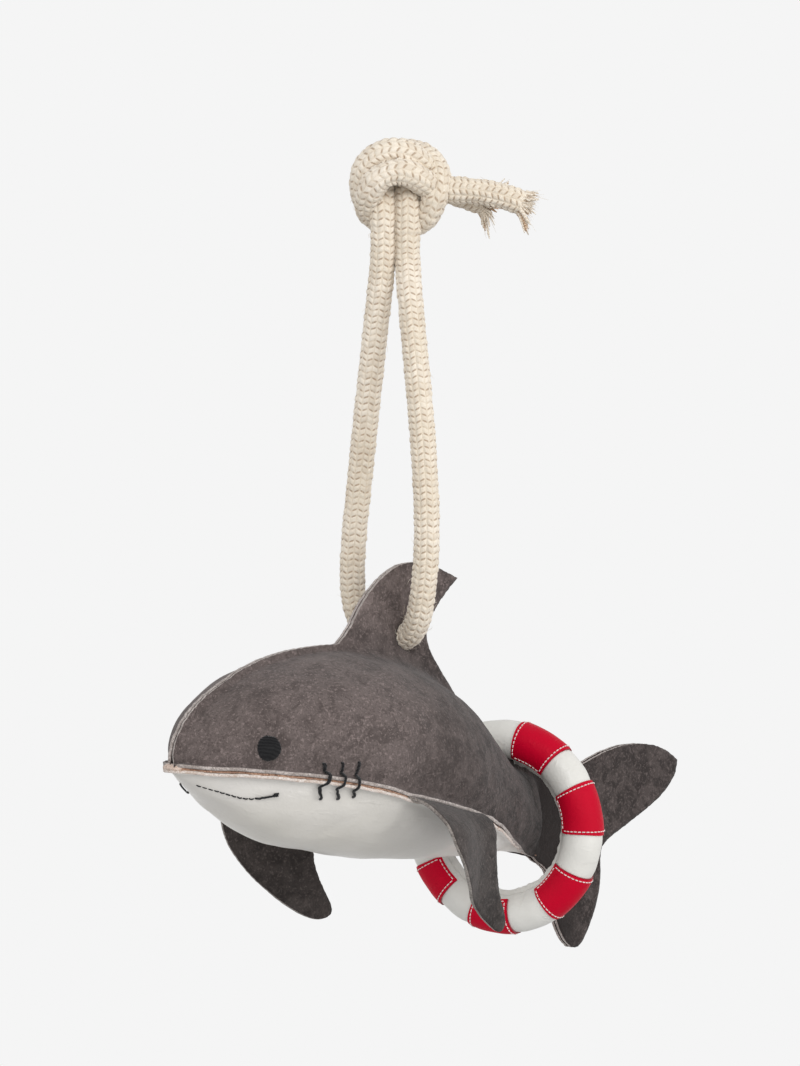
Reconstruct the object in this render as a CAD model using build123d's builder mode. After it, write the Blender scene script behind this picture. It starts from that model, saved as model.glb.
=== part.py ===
"""Stuffed leather shark toy that hangs by a doubled cotton rope and wears a lifebuoy ring on its tail.

Millimetres, +Z up. The nose points to -X, the shark's left flank to -Y, and the shark is symmetrical
about the plane Y = 0. The origin is the crotch of the rope, just under its knot, where a hook bears.
"""
import math
import os

from build123d import *

# Leather and filling
SUEDE = 1.6             # thickness of the grey suede
BELLY_LEATHER = 1.4     # thickness of the white belly leather
RING_LEATHER = 1.1      # thickness of the ring's white leather
FILL_GAP = 0.15         # between a skin and its filling
SEAM_GAP = 0.1          # between the panels along the belly seams
TRIM = 0.8              # how far thread and eyes stand off the leather
TRIM_GAP = 0.08         # between them and the leather

# Body sections from nose to tail: x, ridge height, seam height, belly height, widest half, seam half
BODY_SECTIONS = [
    (-130.0, -206.5, -213.0, -217.0, 4.5, 3.8),
    (-126.0, -197.0, -213.5, -219.5, 9.0, 8.5),
    (-118.0, -188.5, -214.3, -224.0, 18.0, 17.0),
    (-104.0, -180.0, -215.8, -235.0, 30.0, 28.5),
    (-84.0, -171.5, -218.3, -246.5, 43.0, 41.0),
    (-60.0, -167.0, -222.8, -254.0, 51.0, 48.5),
    (-35.0, -166.0, -229.5, -258.5, 53.0, 49.5),
    (-5.0, -171.0, -236.5, -262.0, 50.0, 47.0),
    (22.0, -182.0, -243.0, -263.3, 41.0, 38.5),
    (46.0, -200.0, -250.0, -262.8, 30.0, 27.0),
    (66.0, -217.5, -255.5, -261.5, 20.5, 15.0),
    (82.0, -225.5, -260.5, -262.5, 12.0, 4.0),
    (92.0, -228.8, -265.5, -267.8, 6.0, 2.5),
]
FILL_END_X = 91.7       # where the filling ends
WEB_X = 91.8            # behind it the two flanks lie flat together

# Dorsal fin and the rope hole through it
FIN_FRONT = (-34.0, -166.5)
FIN_TOP = (9.0, -128.0)
FIN_TIP = (38.7, -135.5)
FIN_WAIST = (19.5, -159.5)
FIN_BACK = (44.0, -199.0)
HOLE_X, HOLE_Z, HOLE_R = 6.0, -161.6, 7.5

# Tail fin, cut from two flat layers that bend at the end of the filling
TAIL_HINGE_X = 102.0
TAIL_GAP = 0.6          # from the bend line to each side's leather

# Pectoral fins: root line along the belly seam, and the awning-like curve of the leather
FIN_ROOT_FRONT = (-43.0, -51.5, -229.0)
FIN_ROOT_REAR = (11.0, -45.5, -241.5)
FIN_LEATHER = 1.6

# Lifebuoy ring on the tail stock
RING_CENTRE = (78.0, 0.0, -253.4)
RING_TURN = 16.0        # degrees that the ring is turned about the vertical
RING_R = 41.2           # ring centre to tube centre
TUBE_R = 9.0
PATCH = 0.9             # thickness of a red patch
PATCH_WRAP = 138.0      # degrees that a patch reaches round the tube from its outermost line
PATCH_SPAN = 29.0       # degrees of the ring that a patch covers
PATCH_ANGLES = [27.0, 77.0, 132.0, 189.0, 238.0, 286.0, 331.0]
THREAD = 0.5            # thread thickness on the ring

# Rope
ROPE_D = 11.6
KNOT_CENTRE = (2.0, -2.0, 44.5)
KNOT_SIZE = (47.0, 38.0, 41.5)
KNOT_TURN = -45.0
# The loop, from the knot down the left side, through the fin's hole and up the right side
LOOP_ROUTE = [
    (3.9, -3.9, 30.0),
    (0.8, -9.8, -16.0),
    (0.0, -17.6, -68.0),
    (0.0, -21.2, -116.0),
    (1.5, -16.0, -146.0),
    (4.5, -8.0, -159.0),
    (6.0, 5.0, -163.0),
    (5.0, 17.0, -162.5),
    (1.5, 27.0, -154.0),
    (0.0, 29.0, -131.0),
    (0.0, 22.5, -86.0),
    (-0.8, 12.6, -26.0),
    (-3.9, 3.9, 18.0),
]
FRONT_TAIL_ROUTE = [(9.0, -14.0, 43.0), (25.5, -31.0, 40.0), (40.5, -46.5, 34.5)]
REAR_TAIL_ROUTE = [(15.0, -3.5, 42.0), (27.5, -16.0, 38.0), (37.0, -25.5, 31.5)]


def flank_points(section, inset, lift=0.0):
    """One flank in a body section, from the ridge down to this lift over the belly seam."""
    _, ridge, seam, _, wide, seam_half = section
    top = ridge - 1.3 * inset
    half = wide - inset
    edge = max(seam_half - inset, 0.4)
    tall = top - seam
    return [
        (0.0, top),
        (0.50 * half, top - 0.14 * tall),
        (0.86 * half, top - 0.38 * tall),
        (1.00 * half, top - 0.66 * tall),
        (edge + 0.75 * (half - edge), top - 0.86 * tall),
        (edge, seam + lift),
    ]


def belly_points(section, inset):
    """The underside of a body section, from the right seam to the left one."""
    _, _, seam, belly, _, seam_half = section
    edge = max(seam_half - inset, 0.4)
    low = min(belly + inset, seam - 0.3)
    sag = seam - low
    right = [(edge, seam), (0.74 * edge, seam - 0.58 * sag), (0.0, low)]
    return right + mirrored(right[:-1])


def mirrored(points):
    """The same points on the other side of the middle plane, in the opposite order."""
    return [(-y, z) for y, z in reversed(points)]


def skin(side, outer_inset, inner_inset, sections):
    """A flank's skin between two insets: side -1 is the shark's left, +1 its right."""
    with BuildPart() as part:
        for section in sections:
            with BuildSketch(Plane.YZ.offset(section[0])):
                with BuildLine():
                    outside = [(side * y, z) for y, z in flank_points(section, outer_inset, SEAM_GAP)]
                    inside = [(side * y, z) for y, z in flank_points(section, inner_inset, SEAM_GAP)]
                    Spline(*outside)
                    Line(outside[-1], inside[-1])
                    Spline(*reversed(inside))
                    Line(inside[0], outside[0])
                make_face()
        loft()
    return part.part


def belly_skin(outer_inset, inner_inset, sections):
    """The belly's skin between two insets."""
    with BuildPart() as part:
        for section in sections:
            with BuildSketch(Plane.YZ.offset(section[0])):
                with BuildLine():
                    outside = belly_points(section, outer_inset)
                    inside = belly_points(section, inner_inset)
                    Spline(*outside)
                    Line(outside[-1], inside[-1])
                    Spline(*reversed(inside))
                    Line(inside[0], outside[0])
                make_face()
        loft()
    return part.part


def side_plane(side):
    """The middle plane, facing this flank, and the sign that heights have on it."""
    if side < 0:
        return Plane.XZ, 1.0
    return Plane(origin=(0, 0, 0), x_dir=(1, 0, 0), z_dir=(0, 1, 0)), -1.0


def side_panel(side):
    """One flank with its layer of the dorsal fin and of the web before the tail's bend."""
    face, up = side_plane(side)
    with BuildPart() as panel:
        add(skin(side, 0.0, SUEDE, BODY_SECTIONS))
        with BuildSketch(face):
            with BuildLine():
                front, top, tip, waist, back = (
                    (x, up * z) for x, z in (FIN_FRONT, FIN_TOP, FIN_TIP, FIN_WAIST, FIN_BACK)
                )
                Spline(front, (-16.0, up * -141.0), top, tangents=[(0.45, up * 0.9), (1.0, 0.0)])
                Spline(top, (25.0, up * -130.0), tip)
                Spline(tip, (24.5, up * -149.0), waist, (25.0, up * -173.0), back)
                ridge = [(x, up * (z - 0.8)) for x, z, *_ in BODY_SECTIONS[7:9]]
                Spline(back, *reversed(ridge), front)
            make_face()
            with Locations((HOLE_X, up * HOLE_Z)):
                Circle(HOLE_R, mode=Mode.SUBTRACT)
        extrude(amount=SUEDE)
        end = TAIL_HINGE_X - TAIL_GAP
        with BuildSketch(face):
            with BuildLine():
                Polyline(
                    (WEB_X, up * -228.7), (end, up * -232.5), (end, up * -274.0), (WEB_X, up * -266.0),
                    close=True,
                )
            make_face()
        extrude(amount=SUEDE)
    return panel


left_side_panel = side_panel(-1)
right_side_panel = side_panel(1)

with BuildPart() as belly_panel:
    add(belly_skin(0.0, BELLY_LEATHER, BODY_SECTIONS))

with BuildPart() as body_stuffing:
    for section in BODY_SECTIONS:
        inset = SUEDE + FILL_GAP
        with BuildSketch(Plane.YZ.offset(min(section[0], FILL_END_X))):
            with BuildLine():
                flank = flank_points(section, inset)
                Spline(*flank)
                Spline(*belly_points(section, inset))
                Spline(*mirrored(flank))
            make_face()
    loft()


def tail_layer(side):
    """One flat layer of the tail fin, from the bend line to the two lobes."""
    face, up = side_plane(side)
    start = TAIL_HINGE_X + TAIL_GAP
    with BuildPart() as layer:
        with BuildSketch(face):
            with BuildLine():
                Spline(
                    *[(x, up * z) for x, z in
                      [(start, -233.0), (116.0, -232.0), (131.0, -226.9), (150.0, -221.0), (170.0, -219.7),
                       (188.0, -223.2), (198.4, -229.0)]]
                )
                Spline(
                    *[(x, up * z) for x, z in
                      [(198.4, -229.0), (196.9, -235.0), (188.2, -244.4), (172.6, -253.3), (157.0, -260.5),
                       (141.4, -270.0)]]
                )
                Spline(
                    *[(x, up * z) for x, z in
                      [(141.4, -270.0), (141.6, -283.0), (138.4, -296.0), (131.0, -309.9), (123.0, -315.9)]]
                )
                Spline(
                    *[(x, up * z) for x, z in
                      [(123.0, -315.9), (113.4, -311.5), (107.6, -301.0), (104.0, -287.0), (start, -274.5)]]
                )
                Line((start, up * -274.5), (start, up * -233.0))
            make_face()
        extrude(amount=SUEDE)
    return layer


left_tail_layer = tail_layer(-1)
right_tail_layer = tail_layer(1)


def pectoral_fin():
    """The left pectoral fin: leather that leaves the seam outwards, bends over and hangs down."""
    front = Vector(*FIN_ROOT_FRONT)
    root = Vector(*FIN_ROOT_REAR) - front
    along = root.normalized()
    down = (Vector(0, 0, -1) - along * along.dot(Vector(0, 0, -1))).normalized()
    outward = along.cross(down)
    if outward.Y > 0:
        outward = outward * -1
    section = Plane(origin=front - along * 20, x_dir=outward, z_dir=outward.cross(down))
    outline = Plane(origin=front - outward * 10, x_dir=along, z_dir=along.cross(down))
    sheet_way = 1 if section.z_dir.dot(along) > 0 else -1
    outline_way = 1 if outline.z_dir.dot(outward) > 0 else -1
    with BuildPart() as fin:
        with BuildSketch(section):
            with BuildLine():
                outer = Spline((0.0, 0.0), (12.0, 4.0), (18.6, 15.0), (19.0, 32.0), (14.5, 58.0))
                inner = Spline((0.0, 1.6), (11.0, 5.4), (17.0, 15.5), (17.4, 32.0), (13.0, 57.6))
                Line(outer @ 0, inner @ 0)
                Line(outer @ 1, inner @ 1)
            make_face()
        extrude(amount=sheet_way * 110.0)
        with BuildSketch(outline):
            with BuildLine():
                Spline(
                    (0.0, -3.0), (2.0, 6.0), (6.0, 15.0), (13.0, 25.0), (24.0, 36.0), (37.0, 45.0),
                    (50.0, 50.5), (61.0, 52.0), (69.0, 50.0), (71.5, 46.5),
                )
                Spline((71.5, 46.5), (68.5, 42.0), (62.0, 35.0), (56.0, 25.0), (54.0, 13.0), (54.0, -3.0))
                Line((54.0, -3.0), (0.0, -3.0))
            make_face()
        extrude(amount=outline_way * 60.0, mode=Mode.INTERSECT)
    return fin


left_pectoral_fin = pectoral_fin()
with BuildPart() as right_pectoral_fin:
    add(mirror(left_pectoral_fin.part, about=Plane.XZ))


RING_WAY = Vector(1, 0, 0).rotate(Axis.Z, RING_TURN)
RING_AXIS = Axis(RING_CENTRE, tuple(RING_WAY))


def ring_profile_plane(angle):
    """The plane through the ring's axis at this angle from the top, turning towards the left flank."""
    spun = Plane(origin=RING_CENTRE, x_dir=(0, 0, 1), z_dir=RING_WAY)
    radial = spun.x_dir.rotate(Axis((0, 0, 0), tuple(RING_WAY)), angle)
    return Plane(origin=RING_CENTRE, x_dir=radial, z_dir=radial.cross(RING_WAY))


with BuildPart() as ring_cover:
    with BuildSketch(ring_profile_plane(0)):
        with Locations((RING_R, 0)):
            Circle(TUBE_R)
            Circle(TUBE_R - RING_LEATHER, mode=Mode.SUBTRACT)
    revolve(axis=RING_AXIS, revolution_arc=360)

with BuildPart() as ring_stuffing:
    with BuildSketch(ring_profile_plane(0)):
        with Locations((RING_R, 0)):
            Circle(TUBE_R - RING_LEATHER - FILL_GAP)
    revolve(axis=RING_AXIS, revolution_arc=360)


def ring_patch(angle):
    """One red patch, wrapped round the outside of the tube."""
    inner, outer = TUBE_R + 0.05, TUBE_R + PATCH
    with BuildPart() as patch:
        with BuildSketch(ring_profile_plane(angle - PATCH_SPAN / 2)):
            with BuildLine():
                a = CenterArc((RING_R, 0), inner, -PATCH_WRAP, 2 * PATCH_WRAP)
                b = CenterArc((RING_R, 0), outer, -PATCH_WRAP, 2 * PATCH_WRAP)
                Line(a @ 0, b @ 0)
                Line(a @ 1, b @ 1)
            make_face()
        revolve(axis=RING_AXIS, revolution_arc=PATCH_SPAN)
    return patch


ring_patches = [ring_patch(angle) for angle in PATCH_ANGLES]

with BuildPart() as patch_stitching:
    for angle in PATCH_ANGLES:
        for turn in (-PATCH_WRAP + 8, PATCH_WRAP - 8):
            reach = TUBE_R + PATCH + 0.02 + THREAD / 2
            with BuildSketch(ring_profile_plane(angle - PATCH_SPAN / 2 + 2.0)):
                spot = Vector(reach, 0).rotate(Axis.Z, turn)
                with Locations((RING_R + spot.X, spot.Y)):
                    Circle(THREAD / 2)
            revolve(axis=RING_AXIS, revolution_arc=PATCH_SPAN - 4.0)


def trim(shape, side):
    """What lies in this shape between the flank's surface and the trim's own height."""
    with BuildPart() as piece:
        add(skin(side, -TRIM, -TRIM_GAP, BODY_SECTIONS))
        add(shape, mode=Mode.INTERSECT)
    return piece


EYE_X, EYE_Z, EYE_R = -104.5, -205.0, 5.4
with BuildPart() as eye_prism:
    with BuildSketch(Plane.XZ):
        with Locations((EYE_X, EYE_Z)):
            Circle(EYE_R)
    extrude(amount=70.0, both=True)
left_eye = trim(eye_prism.part, -1)
right_eye = trim(eye_prism.part, 1)

GILL_XS = (-84.0, -77.0, -70.0)
GILL_TOP, GILL_LOW, GILL_WIDE = -211.5, -229.0, 1.2
with BuildPart() as gill_prism:
    for x in GILL_XS:
        with BuildSketch(Plane.XZ):
            with BuildLine():
                Polyline(
                    (x, GILL_TOP), (x + GILL_WIDE, GILL_TOP), (x - 2.5 + GILL_WIDE, GILL_LOW),
                    (x - 2.5, GILL_LOW), close=True,
                )
            make_face()
        extrude(amount=70.0, both=True)
left_gill_stitches = trim(gill_prism.part, -1)
right_gill_stitches = trim(gill_prism.part, 1)

MOUTH_WIDE = 1.0
MOUTH_LINE = [(-135.0, -219.0), (-120.0, -222.0), (-108.0, -226.4), (-98.0, -224.8)]
with BuildPart() as mouth_prism:
    with BuildSketch(Plane.XZ):
        with BuildLine():
            upper = Spline(*MOUTH_LINE)
            lower = Spline(*[(x, z - MOUTH_WIDE) for x, z in MOUTH_LINE])
            Line(upper @ 0, lower @ 0)
            Line(upper @ 1, lower @ 1)
        make_face()
    extrude(amount=70.0, both=True)
with BuildPart() as mouth_stitches:
    add(belly_skin(-TRIM, -TRIM_GAP, BODY_SECTIONS))
    add(mouth_prism.part, mode=Mode.INTERSECT)

knot_place = Pos(*KNOT_CENTRE) * Rot(0, 0, KNOT_TURN)
knot_shape = knot_place * scale(Sphere(0.5), by=KNOT_SIZE)
with BuildPart() as rope_knot:
    add(knot_shape)


def bend_radii(route):
    """Radius of the arc at each inner point: 0.45 of its shorter run over the tangent of half the turn."""
    points = [Vector(*p) for p in route]
    runs = [b - a for a, b in zip(points, points[1:])]
    return [
        0.45 * min(a.length, b.length) / math.tan(math.radians(a.get_angle(b)) / 2)
        for a, b in zip(runs, runs[1:])
    ]


def rope_tube(name, route):
    """A length of rope outside the knot, swept along straight runs and tangent arcs."""
    radii = bend_radii(route)
    with BuildPart() as tube:
        with BuildLine() as line:
            FilletPolyline(*route, radius=radii)
        path = line.wires()[0]
        with BuildSketch(Plane(origin=path @ 0, z_dir=path % 0)):
            Circle(ROPE_D / 2)
        sweep(path=path)
        expected = math.pi * (ROPE_D / 2) ** 2 * path.length
        print(name, "length", round(path.length, 1), "volume over expected",
              round(tube.part.volume / expected, 4), "radii", [round(r, 1) for r in radii])
        add(rope_knot.part, mode=Mode.SUBTRACT)
    return tube


rope_loop = rope_tube("rope_loop", LOOP_ROUTE)
rope_front_tail = rope_tube("rope_front_tail", FRONT_TAIL_ROUTE)
rope_rear_tail = rope_tube("rope_rear_tail", REAR_TAIL_ROUTE)

pieces = {
    "left_side_panel": left_side_panel,
    "right_side_panel": right_side_panel,
    "belly_panel": belly_panel,
    "body_stuffing": body_stuffing,
    "left_tail_layer": left_tail_layer,
    "right_tail_layer": right_tail_layer,
    "left_pectoral_fin": left_pectoral_fin,
    "right_pectoral_fin": right_pectoral_fin,
    "left_eye": left_eye,
    "right_eye": right_eye,
    "left_gill_stitches": left_gill_stitches,
    "right_gill_stitches": right_gill_stitches,
    "mouth_stitches": mouth_stitches,
    "ring_cover": ring_cover,
    "ring_stuffing": ring_stuffing,
    "patch_stitching": patch_stitching,
    "rope_knot": rope_knot,
    "rope_loop": rope_loop,
    "rope_front_tail": rope_front_tail,
    "rope_rear_tail": rope_rear_tail,
}
for number, patch in enumerate(ring_patches, 1):
    pieces[f"ring_patch_{number}"] = patch

os.makedirs("parts", exist_ok=True)
for name, piece in pieces.items():
    piece.part.label = name
    export_step(piece.part, f"parts/{name}.step")
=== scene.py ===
"""Looks of the stuffed suede shark that hangs by a knotted cotton rope and wears a lifebuoy ring.

Shapes are worked out in millimetres in the row frame and turned into metres by mesh_object(). The nose
points to -X, the left flank to -Y, and the rope's crotch is the origin.
"""
from math import copysign, cos, hypot, pi, radians, sin, sqrt

import bpy
import numpy as np
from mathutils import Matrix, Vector, noise
from mathutils.geometry import delaunay_2d_cdt


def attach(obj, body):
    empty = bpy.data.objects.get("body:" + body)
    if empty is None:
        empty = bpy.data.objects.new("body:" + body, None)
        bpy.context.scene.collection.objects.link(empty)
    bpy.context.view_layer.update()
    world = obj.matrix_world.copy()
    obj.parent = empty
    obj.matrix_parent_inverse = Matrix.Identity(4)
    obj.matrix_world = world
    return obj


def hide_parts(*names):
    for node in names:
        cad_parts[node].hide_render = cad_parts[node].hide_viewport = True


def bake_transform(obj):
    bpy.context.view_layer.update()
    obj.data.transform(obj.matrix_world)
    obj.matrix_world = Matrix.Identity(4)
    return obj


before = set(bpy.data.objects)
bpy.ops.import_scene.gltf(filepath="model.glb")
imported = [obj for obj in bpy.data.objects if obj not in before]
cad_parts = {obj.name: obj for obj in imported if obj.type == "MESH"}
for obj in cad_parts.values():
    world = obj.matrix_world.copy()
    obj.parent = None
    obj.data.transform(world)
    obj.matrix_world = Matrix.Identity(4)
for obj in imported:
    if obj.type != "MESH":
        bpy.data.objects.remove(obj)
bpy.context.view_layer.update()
MM = 0.001


# ---- stage
LIGHTS = [  # name, place, size, watts
    ("key", (-1.15, -1.3, 0.7), 0.9, 12),
    ("fill", (0.3, -1.9, 0.1), 1, 10),
    ("top", (0.2, 0.3, 1.5), 1.2, 0.8),
]
LIT = Vector((0.02, 0, -0.15))      # where the lights point
FLOOR_DEPTH = 2.2


def link(name, data):
    """A new object in the scene."""
    obj = bpy.data.objects.new(name, data)
    bpy.context.scene.collection.objects.link(obj)
    return obj


def make_stage():
    """Camera, soft lights, a plain pale floor well below the toy, and surroundings that darken towards it."""
    scene = bpy.context.scene
    data = bpy.data.cameras.new("camera")
    data.lens, data.sensor_width = 92.9, 36
    camera = link("camera", data)
    camera.location = (-0.8823, -0.8855, -0.1146)
    camera.rotation_euler = (radians(90), 0, radians(-45))
    scene.camera = camera
    scene.view_settings.view_transform = "Standard"
    sky = Nodes("surroundings", "worlds")
    height = sky.add("SeparateXYZ", {0: sky.place}).outputs["Z"]
    below = sky.ramp(height, -0.9, -0.28, 0.36, 0.913, "LINEAR")
    above = sky.ramp(height, 0.36, 0.95, 1, 0.55, "LINEAR")
    sky.put(sky.tree.nodes["Background"], "Color", sky.times(below, above))
    scene.world = sky.block
    bpy.ops.mesh.primitive_circle_add(vertices=96, radius=3, fill_type="NGON", location=(0, 0, -FLOOR_DEPTH))
    floor = bpy.context.object
    floor.name = "floor"
    pale = Nodes("pale_floor")
    floor.data.materials.append(pale.finish(pale.mix(pale.noise(3, 3), (0.60,) * 3, (0.63,) * 3), 0.9))
    for name, place, size, watts in LIGHTS:
        lamp = bpy.data.lights.new(name, "AREA")
        lamp.shape, lamp.size, lamp.energy = "DISK", size, watts
        light = link(name, lamp)
        light.location = place
        light.rotation_euler = (LIT - Vector(place)).to_track_quat("-Z", "Y").to_euler()


# ---- materials
class Nodes:
    """A short way to write the node tree of a material or of the world."""

    def __init__(self, name, kind="materials"):
        self.block = getattr(bpy.data, kind).new(name)
        self.block.use_nodes = True
        self.tree = self.block.node_tree
        self.place = self.add("TexCoord").outputs["Generated" if kind == "worlds" else "Object"]

    def add(self, kind, inputs=None, **settings):
        node = self.tree.nodes.new("ShaderNode" + kind)
        for key, value in settings.items():
            setattr(node, key, value)
        for key, value in (inputs or {}).items():
            self.put(node, key, value)
        return node

    def put(self, node, key, value):
        socket = node.inputs[key]
        if isinstance(value, bpy.types.NodeSocket):
            self.tree.links.new(value, socket)
        elif socket.type == "RGBA":
            socket.default_value = (*value, 1)
        else:
            socket.default_value = value

    def math(self, operation, a, b=0):
        return self.add("Math", {0: a, 1: b}, operation=operation).outputs[0]

    def times(self, a, b):
        return self.math("MULTIPLY", a, b)

    def off_middle(self, share):
        """0 where the share is one half, 1 where it is 0 or 1."""
        return self.times(self.math("ABSOLUTE", self.math("SUBTRACT", share, 0.5)), 2)

    def ramp(self, value, low, high, to_low=0, to_high=1, kind="SMOOTHSTEP"):
        inputs = {"Value": value, "From Min": low, "From Max": high, "To Min": to_low, "To Max": to_high}
        return self.add("MapRange", inputs, interpolation_type=kind).outputs[0]

    def mix(self, share, a, b):
        return self.add("Mix", {0: share, 6: a, 7: b}, data_type="RGBA").outputs[2]

    def layer(self, under, over, value, low, high, most):
        """One colour laid over another as a value goes from low to high, up to a share."""
        return self.mix(self.ramp(value, low, high, 0, most), under, over)

    def noise(self, scale, detail=2, rough=0.5, vector=None, distortion=0):
        inputs = {"Scale": scale, "Detail": detail, "Roughness": rough, "Distortion": distortion,
                  "Vector": vector or self.place}
        return self.add("TexNoise", inputs).outputs[0]

    def stretched(self, scale, rotation=(0, 0, 0)):
        return self.add("Mapping", {"Vector": self.place, "Scale": scale, "Rotation": rotation}).outputs[0]

    def attribute(self, name):
        return self.add("Attribute", attribute_name=name).outputs["Fac"]

    def bump(self, height, distance, strength=1, below=None):
        inputs = {"Height": height, "Distance": distance, "Strength": strength}
        if below is not None:
            inputs["Normal"] = below
        return self.add("Bump", inputs).outputs[0]

    def finish(self, colour, roughness, normal=None, **fixed):
        shader = self.tree.nodes["Principled BSDF"]
        fixed.update({"Base Color": colour, "Roughness": roughness})
        if normal is not None:
            fixed["Normal"] = normal
        for key, value in fixed.items():
            self.put(shader, key.replace("_", " "), value)
        return self.block


def toned(colour, share):
    """A colour made lighter or darker."""
    return tuple(share * c for c in colour)


def suede_material(name, base, light, dark):
    """Napped split leather: fine grain, pale stray fibres and rubbed patches; painted shade darkens it
    towards the tail and over the web, and painted light brightens the dorsal fin.
    """
    n = Nodes(name)
    grain = n.noise(1050, 3, 0.7)
    nap = n.noise(330, 4, 0.62, distortion=0.8)
    rubbed = n.noise(125, 4, 0.65, distortion=0.6)
    patch = n.noise(46, 5, 0.6, distortion=0.5)
    cloud = n.noise(17, 3, 0.55)
    fleck = n.noise(780, 2, 0.55, distortion=0.4)
    fibre_a = n.noise(1, 3, 0.6, n.stretched((800, 800, 170), (0.4, 0.2, 0.3)), 1.5)
    fibre_b = n.noise(1, 3, 0.6, n.stretched((190, 700, 640), (0.1, 0.5, 0.2)), 1.5)
    colour = n.mix(n.ramp(patch, 0.38, 0.62), dark, base)
    for over, value, low, high, most in (
            (light, cloud, 0.40, 0.64, 0.55), (light, nap, 0.38, 0.68, 0.42),
            (light, rubbed, 0.50, 0.66, 0.55), (dark, rubbed, 0.50, 0.36, 0.62),
            (dark, grain, 0.52, 0.34, 0.62)):
        colour = n.layer(colour, over, value, low, high, most)
    pale = toned(light, 2.1)
    flecks = n.times(n.ramp(fleck, 0.54, 0.72, 0, 0.46), n.ramp(cloud, 0.36, 0.6, 0.25, 1))
    colour = n.mix(flecks, colour, pale)
    colour = n.layer(colour, pale, fibre_a, 0.60, 0.74, 0.48)
    colour = n.layer(colour, pale, fibre_b, 0.61, 0.75, 0.46)
    along = n.attribute("lengthwise")
    # Painted shade: a darker, mottled copy of the suede, laid over more and more of it towards the tail.
    mottled_rear_shade = n.mix(n.ramp(rubbed, 0.40, 0.60), toned(dark, 0.46), toned(base, 0.58))
    mottled_rear_shade = n.layer(mottled_rear_shade, light, fleck, 0.50, 0.70, 0.5)
    colour = n.layer(colour, mottled_rear_shade, along, -0.060, 0.045, 0.94)
    # Painted shade: the crease where the stuffing ends and the flat web behind it, darkened towards a
    # near-black copy of the suede.
    web = n.times(n.ramp(along, 0.087, 0.0925), n.ramp(along, 0.132, 0.110))
    colour = n.mix(n.times(web, 0.92), colour, toned(base, 0.20))
    # Painted light: the dorsal fin's suede brightened up to 1.9 times, for the light its upright face
    # catches.
    lift = n.ramp(n.attribute("dorsal_painted_light"), 0, 1, 1, 1.9)
    colour = n.add("HueSaturation", {"Color": colour, "Value": lift}).outputs[0]
    coarse = n.bump(n.math("ADD", nap, n.times(patch, 1.8)), 0.0006, 0.7)
    return n.finish(colour, n.ramp(nap, 0.3, 0.7, 0.86, 0.98), n.bump(grain, 0.0003, 0.9, coarse),
                    Specular_IOR_Level=0.18, Sheen_Weight=0.10, Sheen_Roughness=0.5)


def raw_edge_material(name, base, dark):
    """The fibrous cut edge of a split."""
    n = Nodes(name)
    fibre = n.noise(1100, 4, 0.7, distortion=1)
    colour = n.mix(n.ramp(fibre, 0.35, 0.62), dark, base)
    colour = n.layer(colour, dark, n.noise(150, 3, 0.6), 0.42, 0.68, 0.6)
    return n.finish(colour, 0.95, n.bump(fibre, 0.0006, 0.9), Specular_IOR_Level=0.15, Sheen_Weight=0.3)


def smooth_leather_material(name, base, shade, roughness, gloss=0.4):
    """Finished leather with a fine pebble, soft creases and a slight unevenness of colour."""
    n = Nodes(name)
    pebble = n.add("TexVoronoi", {"Vector": n.place, "Scale": 700}, feature="SMOOTH_F1").outputs[0]
    soft = n.noise(30, 4, 0.5)
    crease = n.noise(1, 2, 0.5, n.stretched((70, 260, 260), (0.2, 0.1, 0.6)), 1)
    colour = n.layer(base, shade, n.noise(11, 3, 0.55), 0.35, 0.7, 0.75)
    colour = n.layer(colour, shade, pebble, 0.35, 0.75, 0.10)
    normal = n.bump(soft, 0.0012, 0.5)
    normal = n.bump(n.ramp(crease, 0.55, 0.75), 0.0002, 0.5, normal)
    normal = n.bump(n.math("ADD", pebble, n.times(n.noise(1800), 0.4)), 0.00012, 0.6, normal)
    rough = n.ramp(soft, 0.3, 0.7, roughness - 0.05, roughness + 0.08)
    return n.finish(colour, rough, normal, Specular_IOR_Level=gloss)


def thread_material(name, base, light, roughness=0.95):
    """Twisted sewing thread."""
    n = Nodes(name)
    twist = n.add("TexWave", {"Vector": n.place, "Scale": 420, "Distortion": 3, "Detail": 2},
                  bands_direction="DIAGONAL").outputs[1]
    colour = n.mix(n.ramp(twist, 0.3, 0.8), base, light)
    colour = n.layer(colour, light, n.noise(2500), 0.55, 0.8, 0.4)
    return n.finish(colour, roughness, n.bump(twist, 0.0002, 0.7), Specular_IOR_Level=0.3, Sheen_Weight=0.2)


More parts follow.
